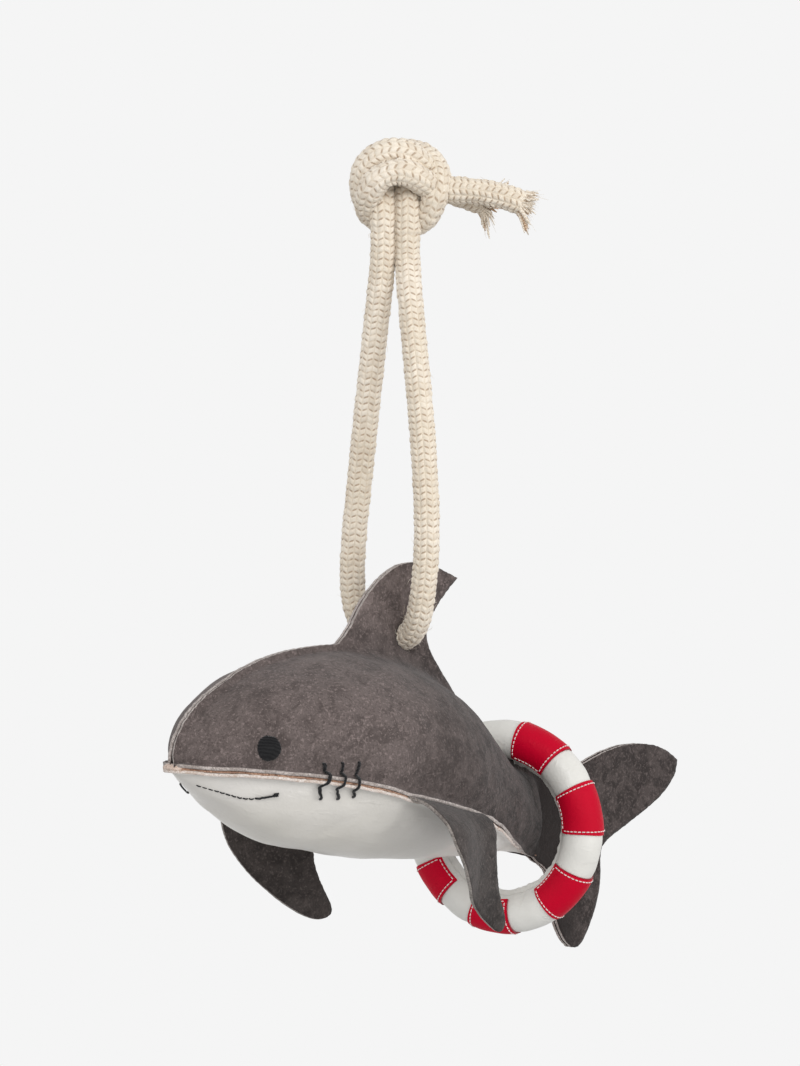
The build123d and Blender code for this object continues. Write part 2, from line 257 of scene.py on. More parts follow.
def rope_material():
    """Cream cotton sleeve with beige cells here and there, and painted shade in the gaps between the plaits,
    dark brown ticks in patches.
    """
    n = Nodes("cotton_rope_braid")
    uv = n.add("SeparateXYZ", {0: n.add("UVMap", uv_map="braid").outputs[0]})
    u, v = uv.outputs[0], uv.outputs[1]
    x = n.math("FRACT", u)
    odd = n.math("FLOOR", n.times(n.math("FRACT", n.times(u, 0.5)), 2))
    side = n.math("SUBTRACT", n.times(odd, 2), 1)
    w = n.math("ADD", v, n.times(n.times(side, n.math("SUBTRACT", x, 0.5)), SLANT))
    gap, edge = n.off_middle(n.math("FRACT", w)), n.off_middle(x)
    fibre = n.noise(1600, 3, 0.6, distortion=0.8)
    cell = n.add("CombineXYZ", {0: n.math("FLOOR", u), 1: n.math("FLOOR", w)}).outputs[0]
    chance = n.add("TexWhiteNoise", {"Vector": cell}, noise_dimensions="3D").outputs[0]
    # Painted shade: the gaps between the plaits and the plaits' edges darkened towards brown, and in patches
    # the middle of each gap darkened further to dark brown ticks.
    shade = n.math("MAXIMUM", n.ramp(gap, 0.62, 0.98), n.ramp(edge, 0.72, 1, 0, 0.75))
    deep_gap_shade = n.times(n.ramp(gap, 0.60, 0.86), n.ramp(edge, 0.86, 0.45))
    deep_gap_shade = n.times(deep_gap_shade, n.ramp(n.noise(260), 0.34, 0.52))
    colour = n.mix(n.ramp(n.noise(38), 0.4, 0.65), (0.71, 0.625, 0.505), (0.79, 0.71, 0.60))
    colour = n.layer(colour, (0.87, 0.82, 0.74), fibre, 0.4, 0.7, 0.5)
    colour = n.layer(colour, (0.56, 0.465, 0.36), chance, 0.45, 1, 0.36)
    colour = n.mix(n.times(shade, 0.32), colour, (0.50, 0.38, 0.24))
    colour = n.mix(n.times(deep_gap_shade, 0.68), colour, (0.33, 0.22, 0.14))
    strands = n.noise(1, 2, 0.5, n.stretched((1900, 1900, 500)), 0.6)
    normal = n.bump(fibre, 0.0002, 0.6, n.bump(strands, 0.0003, 0.7))
    return n.finish(colour, 0.92, normal, Specular_IOR_Level=0.15, Sheen_Weight=0.35, Sheen_Roughness=0.5)


ROPE_D = 11.6
ROPE_R = ROPE_D / 2
COLUMNS, ROW = 12, 2.9      # plaits round the rope, and how far apart they lie along it
SLANT = 0.46                # how far a plait's ends lie apart along the rope, in rows

MATERIALS = {
    "suede": suede_material(
        "grey_suede", (0.104, 0.083, 0.078), (0.147, 0.118, 0.112), (0.056, 0.044, 0.041)),
    "edge": raw_edge_material("raw_suede_edge", (0.58, 0.52, 0.49), (0.24, 0.20, 0.18)),
    # Painted shade: darker copies of the grey suede and of its cut edge, for the pectoral fins that hang in
    # the body's shade.
    "shaded_fin_suede": suede_material(
        "shaded_fin_suede", (0.067, 0.056, 0.052), (0.097, 0.081, 0.076), (0.037, 0.031, 0.029)),
    "shaded_fin_edge": raw_edge_material("raw_shaded_fin_edge", (0.40, 0.36, 0.33), (0.12, 0.10, 0.09)),
    "belly": smooth_leather_material("white_leather", (0.72, 0.695, 0.66), (0.60, 0.575, 0.515), 0.36),
    "belly_edge": raw_edge_material("raw_white_edge", (0.80, 0.74, 0.70), (0.52, 0.41, 0.34)),
    "core": raw_edge_material("tan_seam_core", (0.58, 0.36, 0.25), (0.20, 0.10, 0.065)),
    "nub": raw_edge_material("pale_seam_end", (0.74, 0.60, 0.52), (0.50, 0.36, 0.28)),
    "ring": smooth_leather_material("ring_leather", (0.71, 0.70, 0.665), (0.63, 0.615, 0.575), 0.40),
    "red": smooth_leather_material("red_leather", (0.53, 0.001, 0.022), (0.42, 0.001, 0.016), 0.48, 0.08),
    "red_edge": raw_edge_material("raw_red_edge", (0.42, 0.006, 0.02), (0.20, 0.004, 0.012)),
    "black": thread_material("black_thread", (0.005, 0.005, 0.006), (0.012, 0.012, 0.013)),
    "white": thread_material("white_thread", (0.70, 0.60, 0.58), (0.84, 0.78, 0.76), 0.6),
    "rope": rope_material(),
    "fray": thread_material("cotton_yarn", (0.62, 0.53, 0.42), (0.80, 0.73, 0.63)),
    "fray_tan": thread_material("tan_yarn", (0.40, 0.25, 0.15), (0.62, 0.46, 0.32)),
}


# ---- numbers and lines
def unit(value):
    """A value held between 0 and 1."""
    return np.clip(value, 0, 1)


def normed(way):
    """A vector, or a row of them, made one long."""
    return way / np.maximum(np.linalg.norm(way, axis=-1, keepdims=True), 1e-9)


def bell(value, width):
    """1 at zero, falling off smoothly over a width on both sides."""
    return np.exp(-(value / width) ** 2)


def xyz(x, y=0, z=0):
    """Points from separate coordinates."""
    return np.stack(np.broadcast_arrays(x, y, z), axis=-1)


def way_along(line):
    """How far along a line each of its points lies."""
    return np.concatenate([[0], np.cumsum(np.linalg.norm(np.diff(line, axis=0), axis=1))])


def spline(points, per=12):
    """A smooth line through the points, with this many steps from each to the next."""
    p = np.asarray(points, float)
    d = np.concatenate([[0], np.cumsum(np.maximum(np.linalg.norm(np.diff(p, axis=0), axis=1), 1e-6) ** 0.5)])
    t = np.concatenate([np.linspace(a, b, per, endpoint=False) for a, b in zip(d, d[1:])] + [[d[-1]]])
    return curve_at(d, p, t)


def curve_at(knots, values, t):
    """Natural cubic spline through rows of values at knots, at parameters t."""
    x, y = np.asarray(knots, float), np.asarray(values, float)
    n = len(x)
    h = np.diff(x)
    a = np.zeros((n, n))
    b = np.zeros(y.shape)
    a[0, 0] = a[-1, -1] = 1
    for i in range(1, n - 1):
        a[i, i - 1], a[i, i], a[i, i + 1] = h[i - 1], 2 * (h[i - 1] + h[i]), h[i]
        b[i] = 6 * ((y[i + 1] - y[i]) / h[i] - (y[i] - y[i - 1]) / h[i - 1])
    m = np.linalg.solve(a, b)
    i = np.clip(np.searchsorted(x, t, side="right") - 1, 0, n - 2)
    hi, left, right = (v[:, None] for v in (h[i], x[i + 1] - t, t - x[i]))
    return (m[i] * left ** 3 + m[i + 1] * right ** 3) / (6 * hi) + (y[i] / hi - m[i] * hi / 6) * left + (
        y[i + 1] / hi - m[i + 1] * hi / 6) * right


def resample(points, step):
    """The same line with points a step apart."""
    p = np.asarray(points, float)
    along = way_along(p)
    at = np.linspace(0, along[-1], max(2, int(round(along[-1] / step)) + 1))
    return np.stack([np.interp(at, along, p[:, k]) for k in range(p.shape[1])], axis=1)


def smooth_noise(points, scale, seed, octaves=2):
    """Soft noise between -1 and 1 at points, with features about a scale across."""
    shift = Vector((seed * 7.3, seed * 3.1, seed * 1.7))
    found = [noise.fractal(Vector(p) / scale + shift, 0.9, 2, octaves) for p in np.asarray(points, float)]
    return np.clip(found, -1, 1)


# ---- meshes
def mesh_object(name, points, faces, mats, face_mats=None):
    """A smooth mesh object from points in millimetres, which keeps each point's x for its materials."""
    points = np.asarray(points, float) * MM
    mesh = bpy.data.meshes.new(name)
    mesh.from_pydata([tuple(p) for p in points], [], [tuple(map(int, f)) for f in faces])
    for key in mats:
        mesh.materials.append(MATERIALS[key])
    mesh.polygons.foreach_set("use_smooth", [True] * len(mesh.polygons))
    if face_mats is not None:
        mesh.polygons.foreach_set("material_index", face_mats)
    point_attribute(mesh, "lengthwise", points[:, 0])
    mesh.update()
    return link(name, mesh)


def point_attribute(mesh, name, values):
    """A number kept with each point of a mesh."""
    mesh.attributes.new(name, "FLOAT", "POINT").data.foreach_set("value", list(values))


def leather_thickness(obj, thick):
    """Gives a sheet its thickness inwards, with the cut edge's material on its rim."""
    solid = obj.modifiers.new("thickness", "SOLIDIFY")
    solid.thickness, solid.offset = thick * MM, -1
    solid.material_offset_rim = 1
    evaluated = obj.evaluated_get(bpy.context.evaluated_depsgraph_get())
    mesh = bpy.data.meshes.new_from_object(evaluated)
    obj.modifiers.clear()
    obj.data = mesh
    return obj


def grid_faces(rows, columns, closed_rows=False, closed_columns=False):
    """The faces of a grid of points, which may close on itself either way."""
    faces = []
    for i in range(rows if closed_rows else rows - 1):
        for j in range(columns if closed_columns else columns - 1):
            here, there = i * columns, (i + 1) % rows * columns
            after = (j + 1) % columns
            faces.append((here + j, here + after, there + after, there + j))
    return faces


def tube_faces(rows, sides):
    """The faces of a tube of rings of points, with its two ends."""
    ends = [tuple(range(sides))[::-1], tuple((rows - 1) * sides + k for k in range(sides))]
    return grid_faces(rows, sides, False, True) + ends


def fill_outline(outer, holes, step, seed):
    """Points and triangles that fill a flat outline, with rows of points a step apart inside."""
    loops = [np.asarray(loop, float) for loop in (outer, *holes)]
    verts, edges = [], []
    for loop in loops:
        start, count = len(verts), len(loop)
        verts += [tuple(p) for p in loop]
        edges += [(start + i, start + (i + 1) % count) for i in range(count)]
    low, high = loops[0].min(0), loops[0].max(0)
    row = step * 0.866      # nearly equal triangles
    ys = np.arange(low[1] + row / 2, high[1], row)
    grid = np.array([(x + (0.5 * step if k % 2 else 0), y) for k, y in enumerate(ys)
                     for x in np.arange(low[0], high[0], step)])
    grid = grid + np.random.default_rng(seed).uniform(-0.06, 0.06, (len(grid), 2)) * step
    rim = np.concatenate(loops)
    clear = (0.6 * step) ** 2
    verts += [tuple(p) for p in grid[in_outline(grid, loops)] if ((rim - p) ** 2).sum(1).min() > clear]
    found = delaunay_2d_cdt([Vector(v) for v in verts], edges, [], 0, 1e-7)
    points = np.array([tuple(v) for v in found[0]])
    middles = np.array([points[list(f)].mean(0) for f in found[2]])
    return points, [tuple(f) for f, good in zip(found[2], in_outline(middles, loops)) if good]


def in_outline(points, loops):
    """Which points lie inside the first loop and outside the others."""
    x, y = points[:, 0], points[:, 1]
    inside = np.zeros(len(points), bool)
    for loop in loops:
        for (x0, y0), (x1, y1) in zip(loop, np.roll(loop, -1, axis=0)):
            if y0 != y1:
                inside ^= ((y0 > y) != (y1 > y)) & (x < (x1 - x0) * (y - y0) / (y1 - y0) + x0)
    return inside


# ---- body
# Nose to tail: x, ridge height, seam height, belly height, widest half, seam half
SECTIONS = [
    (-131.8, -211, -213, -215.5, 1.6, 1.2),
    (-130, -205.5, -213.1, -217.4, 4.5, 3.8),
    (-126, -197, -213.5, -219.8, 9.4, 8.5),
    (-118, -188.5, -214.3, -225, 18.4, 17),
    (-104, -180, -215.8, -235, 30.5, 28.5),
    (-84, -171.5, -218.3, -246.5, 43, 41),
    (-60, -167, -222.8, -254, 51, 48.5),
    (-35, -166, -229.5, -258.5, 53, 49.5),
    (-5, -171, -236.5, -262, 50, 46.5),
    (22, -182, -244.8, -263.3, 41.5, 38),
    (46, -200, -253.8, -263.2, 31, 26),
    (66, -217.5, -259.6, -264.6, 21.5, 15),
    (82, -226, -264, -266.6, 13.2, 5.5),
    (88.5, -228.4, -265.8, -267.6, 10, 2.8),
    (92.5, -229.7, -267, -268.4, 4.2, 2.1),
    (95.5, -230.8, -268.4, -269.4, 1.9, 1.9),
    (100, -232.2, -270.6, -271, 1.75, 1.75),
]
X, RIDGE, SEAM, BELLY, WIDE, SEAM_HALF = range(6)
NOSE, SNOUT, BODY_END = -131.8, -118, 100
FLANGE = 2.6                # how far the sewn edges stand out
RISE = 0.9                  # the stuffed flank ends this far below the section's ridge
LAYER = 1.5                 # suede thickness
BELLY_LAYER = 1.35          # white leather thickness
PANEL_MESH, BELLY_MESH, FIN_MESH = 1.7, 1.9, 1.6    # how far apart the points of each sheet lie
HALF_RIDGE = 1.65           # from the middle plane to the outside of a layer where two are sewn together
STEP = 0.25                 # between the points of a station's line
BEYOND = 240                # such steps by which that line goes on past the seam and the ridge
PROBE = 0.6                 # step along a surface that tells which way it faces
FIN_BASE = (-36, 47)        # the dorsal fin's front and rear end on the ridge
STATIONS = np.unique(np.concatenate([np.arange(NOSE, SNOUT, 0.4), np.arange(SNOUT, BODY_END + 0.01, 1)]))


def section_table():
    """The sections' values, smoothed, at the stations."""
    rows = np.array(SECTIONS)
    chord = np.concatenate([[0], np.cumsum(np.linalg.norm(np.diff(rows, axis=0), axis=1) ** 0.8)])
    values = curve_at(chord, rows, np.linspace(0, chord[-1], 3000))
    x = np.maximum.accumulate(values[:, X])
    columns = [np.interp(STATIONS, x, values[:, k]) for k in range(RIDGE, SEAM_HALF + 1)]
    return np.stack([STATIONS] + columns, axis=1)


TABLE = section_table()
SPREAD = np.gradient(TABLE[:, SEAM_HALF], TABLE[:, X])      # how fast the seam's half width grows along x


def at_x(column, x):
    """One of the table's values at any x."""
    return np.interp(x, TABLE[:, X], TABLE[:, column])


def seam_shape(x):
    """How far the body is from its flat end, and how far the seam has turned down, each from 0 to 1."""
    return min(max((97 - x) / 35, 0), 1), min(max((x - 30) / 45, 0), 1)


def round_corners(line, spread):
    """A station's line with its corners softened over this spread."""
    half = int(3 * spread / STEP)
    kernel = np.exp(-0.5 * (np.arange(-half, half + 1) * STEP / spread) ** 2)
    kernel /= kernel.sum()
    before = line[0] + (line[0] - line[1]) * np.arange(half, 0, -1)[:, None]
    after = line[-1] + (line[-1] - line[-2]) * np.arange(1, half + 1)[:, None]
    padded = np.concatenate([before, line, after])
    return np.stack([np.convolve(padded[:, k], kernel, "valid") for k in range(3)], axis=1)


def flank_profile(x, ridge, seam, wide, seam_half):
    """One flank at a station, from the seam up to the ridge, as (half width, height)."""
    top = ridge - RISE
    tall = top - seam
    half = max(wide, HALF_RIDGE + 0.02)
    edge = max(seam_half, HALF_RIDGE)
    fade, drop = seam_shape(x)
    points = [
        (edge + 2.1 * fade * drop, seam + 0.3 + 1.8 * fade * (1 - drop)),
        (edge + 0.75 * (half - edge), top - 0.84 * tall),
        (half, top - 0.64 * tall),
        (0.86 * (half - HALF_RIDGE) + HALF_RIDGE, top - 0.36 * tall),
        (0.50 * (half - HALF_RIDGE) + HALF_RIDGE, top - 0.13 * tall),
        (HALF_RIDGE, top),
    ]
    if half < HALF_RIDGE + 0.5:
        return resample([points[0], points[-1]], STEP)
    return resample(spline(points, 20), STEP)


def seam_way(x, spread):
    """Which way the belly seam's sewn edges stand: outwards, then turning down behind the ring."""
    out = np.array([-spread, 1, 0]) / hypot(spread, 1)
    down = seam_shape(x)[1]
    droop = 0.10 + 0.22 * bell(x + 16, 30)
    return normed(out * (1 - down) + np.array([0, 0, -1]) * down + np.array([0, 0, -droop]) * (1 - down))


def build_flank_lines():
    """Each station's line from far below the seam to far above the ridge, and its length between the two."""
    lines, lengths = [], []
    slope = np.gradient(TABLE[:, RIDGE], TABLE[:, X])
    steps = np.arange(1, BEYOND + 1)[:, None] * STEP
    for k, (x, ridge, seam, _, wide, seam_half) in enumerate(TABLE):
        profile = flank_profile(x, ridge, seam, wide, seam_half)
        n = len(profile)
        lean = np.array([-slope[k], 0, 1]) / hypot(slope[k], 1)
        share = unit((FIN_BASE[0] - 4 - x) / 18) + unit((x - FIN_BASE[1]) / 16) * unit((BODY_END - x) / 8)
        up = np.array([0, 0, 1]) * (1 - share) + lean * share
        middle = xyz(x, profile[:, 0], profile[:, 1])
        below = middle[0] + seam_way(x, SPREAD[k]) * steps[::-1]
        line = np.concatenate([below, middle, middle[-1] + up * steps])
        fin = unit((x - FIN_BASE[0]) / 14) * unit((FIN_BASE[1] - x) / 14)
        blend = unit((np.arange(len(line)) - BEYOND - 0.45 * n) / (0.3 * n + 1))[:, None]
        line = round_corners(line, 0.8) * (1 - blend) + round_corners(line, 0.9 + 5 * fin) * blend
        lines.append((line, BEYOND))
        lengths.append((n - 1) * STEP)
    return lines, lengths


def point_on(stations, lines, x, s):
    """The point this far along the lines of the two stations beside x, each told with its zero point."""
    i = int(np.clip(np.searchsorted(stations, x, side="right") - 1, 0, len(stations) - 2))
    t = min(max((x - stations[i]) / (stations[i + 1] - stations[i]), 0), 1)
    found = []
    for line, zero in lines[i:i + 2]:
        k = min(max(zero + s / STEP, 0), len(line) - 1.001)
        j = int(k)
        found.append(line[j] * (1 - (k - j)) + line[j + 1] * (k - j))
    return found[0] * (1 - t) + found[1] * t


def facing(point, flat, p):
    """Which way a surface faces at its points."""
    right = np.array([point(x + PROBE, s) for x, s in flat]) - p
    above = np.array([point(x, s + PROBE) for x, s in flat]) - p
    return normed(np.cross(above, right))


def at_height(point, longest, count, side, x, z):
    """A surface's point on one side at this x and height, and its outward way."""
    s = side * min(np.linspace(0, float(longest), count), key=lambda s: abs(point(x, side * s)[2] - z))
    here = point(x, s)
    n = normed(np.cross(point(x, s + side * PROBE) - here, point(x + PROBE, s) - here))
    return here, n * (side if n[1] >= 0 else -side)


FLANK, LENGTHS = build_flank_lines()


def flank_length(x):
    """Arc length from the seam to the ridge at x."""
    return np.interp(x, TABLE[:, X], LENGTHS)


def flank_point(x, s):
    """The outside of a side panel at x, s up from the belly seam, with Y above 0; flat past the body."""
    inside = min(max(x, NOSE), BODY_END)
    return point_on(TABLE[:, X], FLANK, inside, s) + [max(x - inside, 0), 0, 0]


def s_of_height(x, z):
    """Where a height in the middle plane lies above the seam, in the flat parts."""
    x = min(x, BODY_END)
    return flank_length(x) + (z - (at_x(RIDGE, x) - RISE))


FIN_OUTLINE = [(-36.5, -163.6), (-30, -157.5), (-24.5, -150), (-16.5, -141), (-8, -134), (0.5, -129.6),
               (9, -128), (18, -128.6), (27, -131), (38.7, -135.5)]
FIN_TRAIL = [(38.7, -135.5), (31.5, -142), (24.8, -149.5), (20.6, -156), (19.2, -161), (20.3, -166.5),
             (24.6, -173.5), (31, -182), (38, -190.5), (44, -196.6)]
HOLE_X, HOLE_Z, HOLE_R = 6, -161.9, 6.4
TAIL_TOP = [(104, -230.6), (116, -230.6), (131, -226.4), (150, -221), (170, -219.5), (188, -223),
            (198.4, -229)]
TAIL_FORK = [(198.4, -229), (196.9, -235), (188.2, -244.4), (172.6, -253.3), (157, -260.5), (145, -266.5),
             (141.8, -271), (141.6, -283), (138.4, -296), (131, -309.4), (126, -314.6), (122.5, -315.9),
             (118.5, -314.8)]
TAIL_LOW = [(118.5, -314.8), (113.2, -310), (107.6, -299.5), (104.6, -287), (102.4, -278), (98, -273.8),
            (92, -270.8)]


def side_outline():
    """The outline of a side panel laid out flat: x along, distance above the belly seam."""
    def ridge(*runs):
        return [(x, flank_length(x) + FLANGE) for run in runs for x in np.arange(*run)]

    def cut(points, step, first=1):
        return [(x, s_of_height(x, z)) for x, z in resample(spline(points), step)[first:]]

    loop = ridge((NOSE, SNOUT, 1), (SNOUT, FIN_OUTLINE[0][0] - 1, 1.3))
    loop += cut(FIN_OUTLINE, 1.1, 0) + cut(FIN_TRAIL, 1.1)
    loop += ridge((46, 101.5, 1.3))
    loop += cut(TAIL_TOP, 1.2, 0) + cut(TAIL_FORK, 1.2) + cut(TAIL_LOW, 1.2)
    seam = [*np.arange(90.5, SNOUT, -1.3), *np.arange(SNOUT - 0.6, NOSE, -1), NOSE]
    loop += [(x, -FLANGE - 0.4) for x in seam]
    return np.array(loop) + np.random.default_rng(3).normal(0, 0.09, (len(loop), 2))


def seam_wave(x, side):
    """How far the sewn edges wander up and down along the belly seam."""
    x = np.atleast_1d(np.asarray(x, float))
    return smooth_noise(xyz(x, 50 * side), 15, 61) * 0.75 * unit((x + 134) / 10) * unit((95 - x) / 30)


def dent(points, s, long):
    """Softness of the stuffed leather at surface points: slow swells, and puckers along the sewn edges."""
    x = points[:, 0]
    slow = smooth_noise(points, 34, 1) * 0.9 + smooth_noise(points, 11, 2) * 0.28
    low = np.exp(-np.clip(s, 0, None) / 4.5) * (s > -1)
    high = np.exp(-np.clip(long - s, 0, None) / 4.5) * (s < long + 1)
    stuffed = unit((96 - x) / 12) * unit(s / 3) * unit((long - s) / 5)
    return slow * stuffed + smooth_noise(xyz(x), 4.2, 3, 1) * (low + high) * 0.42 * unit((100 - x) / 10)


def build_side_panel(side, name):
    """One side panel: flank, its layer of the dorsal fin, the web and its layer of the tail fin."""
    hole = [(HOLE_X + HOLE_R * cos(t) * (1 + 0.03 * sin(3 * t)),
             s_of_height(HOLE_X, HOLE_Z + HOLE_R * sin(t)))
            for t in np.linspace(0, 2 * pi, 40, endpoint=False)]
    flat, faces = fill_outline(side_outline(), [hole], PANEL_MESH, 5)
    p = np.array([flank_point(x, s) for x, s in flat])
    x, s = flat[:, 0], flat[:, 1]
    long = flank_length(x)
    p = p + facing(flank_point, flat, p) * dent(p, s, long)[:, None]
    p[:, 2] += seam_wave(x, side) * unit((4 - s) / 4)
    crease = bell(x - 91.5, 2.6) * bell(s - 0.45 * long, 0.5 * long)
    p[:, 1] -= crease * 0.8 * unit((p[:, 1] - 1.8) / 2)
    web = unit((x - 96) / 40)
    p[:, 1] += web * (0.35 + 0.35 * smooth_noise(xyz(x, s), 28, 5 + side, 1))
    fin = unit((s - long - 4) / 20) * (x < 60)
    p[:, 1] += fin * (0.15 + 0.30 * smooth_noise(xyz(x, s), 20, 9 + side, 1))
    wave = web * 1.3 * np.sin((x - 96) / 26) + fin * 0.7 * np.sin((s - long) / 14)
    p[:, 1] = np.maximum(p[:, 1], LAYER + 0.1) * side + wave
    panel = mesh_object(name, p, [f[::-side] for f in faces], ["suede", "edge"])
    # Keeps the dorsal fin's share for the painted light that brightens it in the suede.
    point_attribute(panel.data, "dorsal_painted_light", fin)
    if panel.data.polygons[len(faces) // 2].normal.y * side < 0:
        panel.data.flip_normals()
    return leather_thickness(panel, LAYER)


def build_belly():
    """The white underside with its sewn edges, and a function that finds a place on its left half."""
    stations = TABLE[TABLE[:, X] <= 93, X]
    lines, lengths = [], []
    for k, x in enumerate(stations):
        seam, belly, seam_half = TABLE[k, [SEAM, BELLY, SEAM_HALF]]
        fade, drop = seam_shape(x)
        edge = max(seam_half - 1.9 * fade * drop, 0.5)
        lip = seam - 0.2 - 1.75 * fade * (1 - drop)
        low = min(belly, lip - 0.3)
        deep = lip - low
        half = resample(spline([(0, low), (0.36 * edge, low + 0.07 * deep), (0.74 * edge, lip - 0.55 * deep),
                                (edge, lip)], 16), STEP)
        line = xyz(x, half[:, 0], half[:, 1])
        above = line[-1] + seam_way(x, SPREAD[k]) * (np.arange(1, 61) * STEP)[:, None]
        whole = np.concatenate([(line * [1, -1, 1])[:0:-1], line, above])
        lines.append((round_corners(whole, 0.7), len(line) - 1))
        lengths.append((len(line) - 1) * STEP)

    def point(x, s):
        return point_on(stations, lines, x, abs(s)) * [1, -1 if s < 0 else 1, 1]

    def on_belly(x, z):
        return at_height(point, np.interp(x, stations, lengths), 80, -1, x, z)

    stops = np.concatenate([np.arange(NOSE, SNOUT, 1), np.arange(SNOUT, 89, 1.4)])
    cut = np.interp(stops, stations, lengths) + (FLANGE + 0.3) * np.clip((90 - stops) / 10, 0.12, 1)
    outline = np.concatenate([xyz(stops, cut), xyz(stops, -cut)[::-1]])[:, :2]
    outline = outline + np.random.default_rng(4).normal(0, 0.07, outline.shape)
    flat, faces = fill_outline(outline, [], BELLY_MESH, 6)
    p = np.array([point(x, s) for x, s in flat])
    normal = facing(point, flat, p)
    normal *= np.where(normal[:, 2:] > 0, -1, 1)
    inside = np.interp(flat[:, 0], stations, lengths) - abs(flat[:, 1])
    inner = unit(inside / 5)
    swell = smooth_noise(p, 30, 21) + smooth_noise(p * [1, 0.5, 1], 9, 22) * 0.30
    puck = smooth_noise(xyz(p[:, 0], np.sign(p[:, 1]) * 9), 4.6, 23, 1)
    rear = unit((p[:, 0] - 10) / 50) * unit((92 - p[:, 0]) / 14)
    p[:, 2] += np.where(p[:, 1] < 0, seam_wave(p[:, 0], -1), seam_wave(p[:, 0], 1)) * unit((5 - inside) / 5)
    folds = np.sin(p[:, 2] / 1.35 + 1.2 * smooth_noise(p, 18, 24, 1)) * 0.35 * rear
    p = p + normal * (swell * inner + puck * np.exp(-abs(inside) / 5) * 0.45 + folds * inner)[:, None]
    panel = mesh_object("belly", p, faces, ["belly", "belly_edge"])
    if panel.data.polygons[len(faces) // 2].normal.z > 0:
        panel.data.flip_normals()
    return leather_thickness(panel, BELLY_LAYER), on_belly


def build_seam_core():
    """The tan ribbon between the side panels and the belly, ending in a rounded nub at the nose."""
    xs = TABLE[TABLE[:, X] < 94, X]
    sides = []
    for side in (-1, 1):
        flip = [1, side, 1]
        wave = seam_wave(xs, side)
        sides.append([(np.array([x, max(TABLE[k, SEAM_HALF], 0.4), TABLE[k, SEAM] - 0.1 + wave[k]]) * flip,
                       seam_way(x, SPREAD[k]) * flip, x) for k, x in enumerate(xs)])
    turn = [(np.array([NOSE + 0.2, 0, -213.1]), np.array([-cos(a), sin(a), 0]), NOSE)
            for a in np.linspace(-0.6, 0.6, 11)]
    path = sides[0][::-1] + turn + sides[1]
    tilts = (1, 0.75, 0.4, 0, -0.4, -0.75, -1)
    wobble = np.random.default_rng(8)
    verts = []
    for p, out, x in path:
        nose = bell(x - NOSE, 3.4)
        under_fin = unit((x + 45) / 4) * unit((13 - x) / 4)
        far = FLANGE - 0.55 + 1.2 * nose + wobble.normal(0, 0.16) - under_fin
        thick = (0.68 + 0.72 * nose) * (1 if x < 60 else max(0.35, (97 - x) / 37))
        up = np.array([-out[0] * out[2], -out[1] * out[2], out[0] ** 2 + out[1] ** 2])
        up = normed(up) if np.linalg.norm(up) > 1e-6 else np.array([0, copysign(1, p[1]), 0])
        rim = [p + out * (far - thick + thick * sqrt(1 - t * t)) + up * t * thick for t in tilts]
        verts += [p - out * 2.5 + up * thick, *rim, p - out * 2.5 - up * thick]
    across = len(tilts) + 2
    kinds = [int(x < -129.6) for _, _, x in path[:-1] for _ in range(across)]
    return mesh_object("seam_core", verts, grid_faces(len(path), across, False, True), ["core", "nub"], kinds)


# ---- pectoral fins
PEC_FRONT = np.array([-43, -51.5, -229])
PEC_REAR = np.array([11, -45.5, -241.5])
PEC_PROFILE = [
    (-3, -0.4), (0, 0), (7, 1.4), (12.8, 4.8), (17, 10), (19, 17.5), (19.6, 27), (18.4, 40), (15, 57)]
PEC_START = [(0, -1.5), (1.2, 2), (3, 8), (6.4, 15.5)]
PEC_TIPS = {
    -1: [(14.5, 24.5), (27, 33.5), (41, 41), (54, 47), (63, 50.5), (68, 51.4), (70.6, 49.6), (70.2, 46.4)],
    1: [(13.2, 25.4), (24, 36), (37, 45), (50, 50.6), (61, 52.6), (67, 51.6), (70.6, 48.6), (70.2, 45.4)]}
PEC_END = [(66.8, 41), (61.6, 34.4), (56.6, 25.2), (54.6, 14), (54.4, 5), (54.4, -1.5)]
PEC_HANG = {-1: (4, -8, 0.95), 1: (8, -1, 1.05)}     # front out, rear out, stretch downwards


def build_pectoral(side, name):
    """One pectoral fin: a single layer of suede that leaves the seam outwards and hangs down."""
    along = normed(PEC_REAR - PEC_FRONT)
    down = normed(np.array([0, 0, -1]) + along * along[2])
    outward = np.cross(along, down)
    outward *= -1 if outward[1] > 0 else 1
    bend = resample(spline(PEC_PROFILE, 16), STEP)
    arc = way_along(bend)
    zero = float(np.interp(0, bend[:40, 0], arc[:40]))
    outline = resample(spline(PEC_START + PEC_TIPS[side] + PEC_END, 14), 1)
    arcs = np.interp(np.maximum(outline[:, 1], 0), bend[:, 1], arc) - zero
    arcs = np.where(outline[:, 1] < 0, outline[:, 1] * 1.4, arcs)
    ragged = np.random.default_rng(11 + side).normal(0, 0.10, len(outline))
    flat, faces = fill_outline(np.stack([outline[:, 0] + ragged, arcs], 1), [], FIN_MESH, 12)
    t, s = flat[:, 0], flat[:, 1]
    out, low = (np.interp(s + zero, arc, bend[:, k]) for k in (0, 1))
    front, rear, stretch = PEC_HANG[side]
    u = unit((t - 12) / 36)
    u = u * u * (3 - 2 * u)
    free = unit((s - 3) / 22)
    wave = free * smooth_noise(xyz(t, s, 40 * side), 26, 31, 1) * 1.1
    ripple = smooth_noise(xyz(t, s * 0.4), 8, 32 + side, 1) * 0.35 * unit(s / 3)
    out = out + (front * (1 - u) + rear * u) * unit(s / 22) + wave + ripple - 1.5 * unit((t - 48) / 24) * free
    low = low * (1 + (stretch - 1) * unit(s / 10))
    p = PEC_FRONT + t[:, None] * along + out[:, None] * outward + low[:, None] * down
    p[:, 2] += 1.7 * unit(1 - s / 14)
    p[:, 1] *= -side
    fin = mesh_object(name, p, [f[::-side] for f in faces], ["shaded_fin_suede", "shaded_fin_edge"])
    top = min(fin.data.polygons, key=lambda f: abs(f.center.z / MM + 250) + abs(f.center.x / MM + 10))
    if top.normal.y * side < 0:
        fin.data.flip_normals()
    return leather_thickness(fin, LAYER)


